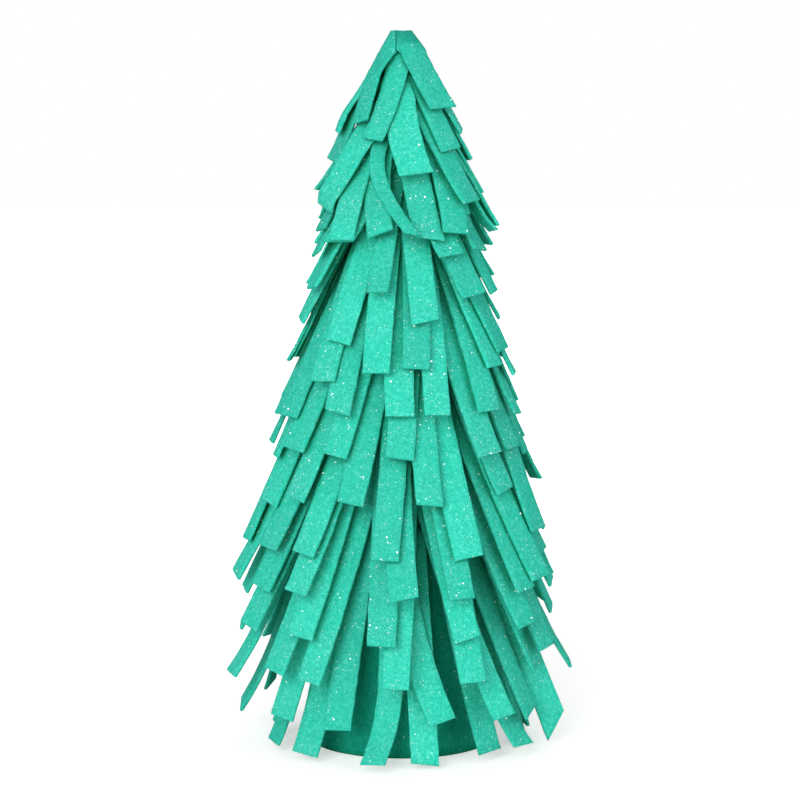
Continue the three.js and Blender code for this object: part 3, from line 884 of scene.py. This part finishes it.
def floor_material():
    """Pale paper that glows a little for the camera, so that it is white where no shadow falls on it."""
    g = Graph(bpy.data.materials.new("pale_paper"))
    grain = g.noise(900, detail=3)
    g.set(Base_Color=g.mix(grain, rgba(0.8, 0.8, 0.8), rgba(0.82, 0.82, 0.82)), Roughness=0.9)
    g.bump(grain, 0.05, 0.0002)
    seen = g.add("ShaderNodeLightPath").outputs["Is Camera Ray"]
    distance = g.add("ShaderNodeVectorMath", {0: g.place()}, operation="LENGTH").outputs["Value"]
    level = g.ramp(distance, FLOOR_NEAR, FLOOR_FAR, FLOOR_GLOW, 1.0)
    strength = g.math("MULTIPLY", seen, level)
    glow = g.add("ShaderNodeEmission", {"Color": rgba(1, 1, 1), "Strength": strength})
    paper = g.tree.nodes["Principled BSDF"].outputs[0]
    both = g.add("ShaderNodeAddShader", {0: paper, 1: glow.outputs[0]})
    g.fill(g.tree.nodes["Material Output"].inputs["Surface"], both.outputs[0])
    return g.owner


def add_looking(name, data, place, way):
    """Adds a camera or a lamp at a place in metres that looks one way."""
    thing = bpy.data.objects.new(name, data)
    thing.location = place
    thing.rotation_euler = way.to_track_quat("-Z", "Y").to_euler()
    bpy.context.scene.collection.objects.link(thing)
    return thing


def add_camera():
    """The view of the photograph."""
    data = bpy.data.cameras.new("camera")
    data.lens = LENS
    data.sensor_width = SENSOR
    data.clip_end = CLIP_END
    back = Vector((0, -math.cos(CAMERA_ELEVATION), math.sin(CAMERA_ELEVATION)))
    place = (CAMERA_TARGET + back * CAMERA_DISTANCE) * MM
    bpy.context.scene.camera = add_looking("camera", data, place, -back)


def add_light():
    """Three lamps and a white sky, which the camera and reflections see brighter than it shines."""
    for name, (place, size, power) in LAMPS.items():
        data = bpy.data.lights.new(name, "AREA")
        data.size = size
        data.energy = power
        add_looking(name, data, place, LAMP_TARGET - Vector(place))
    g = Graph(bpy.data.worlds.new("studio"))
    ray = g.add("ShaderNodeLightPath").outputs
    seen = g.math("MAXIMUM", ray["Is Camera Ray"], ray["Is Glossy Ray"])
    sky = g.tree.nodes["Background"]
    g.fill(sky.inputs["Color"], rgba(1, 1, 1))
    g.fill(sky.inputs["Strength"], g.ramp(seen, 0.0, 1.0, SKY_LIGHT, 1.0))
    bpy.context.scene.world = g.owner


def add_floor():
    """A sheet of paper that is part of the stage."""
    floor = new_piece("floor", FLOOR, [(0, 1, 2, 3)])
    floor.data.materials.append(floor_material())


def dress(piece, material, node=None):
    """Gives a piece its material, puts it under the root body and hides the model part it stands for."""
    piece.data.materials.append(material)
    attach(piece, "root")
    if node:
        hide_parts(node)


def cover_pieces(felt):
    """The felt sleeve round the foam and the disc under it."""
    levels = np.linspace(0, SLEEVE_HEIGHT, SLEEVE_LEVELS)
    inner = [(foam_radius(z) + FIT_GAP, z) for z in levels]
    outer = [(radius + FELT, z) for radius, z in inner]
    low, high = outer[0][0], outer[-1][0]
    outer = [(low - SLEEVE_ROUND, 0), (low, SLEEVE_ROUND), *outer[1:]]
    sleeve = turned_piece("felt_sleeve", outer + inner[::-1], SLEEVE_SIDES, SLEEVE_RIPPLE)
    dress(sleeve, felt, "cone_cover")

    edge = CONE_BASE_RADIUS
    lower = [(DISC_CORE, 0), (edge - DISC_ROUND, 0), (edge, DISC_ROUND)]
    upper = [(radius, DISC_THICKNESS - z) for radius, z in reversed(lower)]
    disc = turned_piece("felt_disc", lower + upper, DISC_SIDES, 0)
    dress(disc, felt, "base_disc")


def fringe_pieces(felt, tip_felt):
    """Lays every strip in turn and returns the skins of all the tabs."""
    dice, hand = Dice(PART_SEED), np.random.default_rng(HAND_SEED)
    reach = np.zeros((MAP_ROWS, MAP_SECTORS))
    reach[:] = [[seat_radius(row * MAP_RISE)] for row in range(MAP_ROWS)]
    all_skins = []
    for number, strip in [*enumerate(STRIPS, 1), (0, TIP_STRIP)]:
        tabs = strip_tabs(number, strip, dice, hand)
        finished = reach.copy()
        for tab in tabs:
            lay_tab(tab, reach, finished)
        close_header(tabs, reach)
        node = f"fringe_row_{number:02d}" if number else "tip_wrap"
        piece, length, skins = strip_mesh(node + "_felt", number, tabs)
        dress(piece, felt if number else tip_felt, node)
        all_skins += skins
    return all_skins


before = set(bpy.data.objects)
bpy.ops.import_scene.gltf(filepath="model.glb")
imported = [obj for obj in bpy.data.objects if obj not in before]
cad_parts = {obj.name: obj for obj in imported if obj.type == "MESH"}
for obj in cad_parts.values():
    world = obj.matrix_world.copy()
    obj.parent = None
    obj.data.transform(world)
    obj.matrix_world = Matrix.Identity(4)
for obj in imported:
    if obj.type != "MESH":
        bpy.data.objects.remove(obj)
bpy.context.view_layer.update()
bpy.context.scene.view_settings.view_transform = "Standard"
add_camera()
add_light()
add_floor()

bright = felt_material("bright_felt", **BRIGHT_FELT)
glued = felt_material("glued_felt", **GLUED_FELT, seam=True)
# The sleeve and disc get the darker copy of the felt: painted shade.
dark = felt_material("painted_shade_felt", **PAINTED_SHADE_FELT)
cover_pieces(dark)
skins = fringe_pieces(bright, glued)
flakes = glitter_piece("glitter", skins, np.random.default_rng(GLITTER_SEED))
dress(flakes, glitter_material())
fuzz = fuzz_piece("fuzz", skins, np.random.default_rng(FUZZ_SEED))
dress(fuzz, bright)
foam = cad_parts["foam_cone"]
foam.data.materials.clear()
foam.data.materials.append(foam_material())
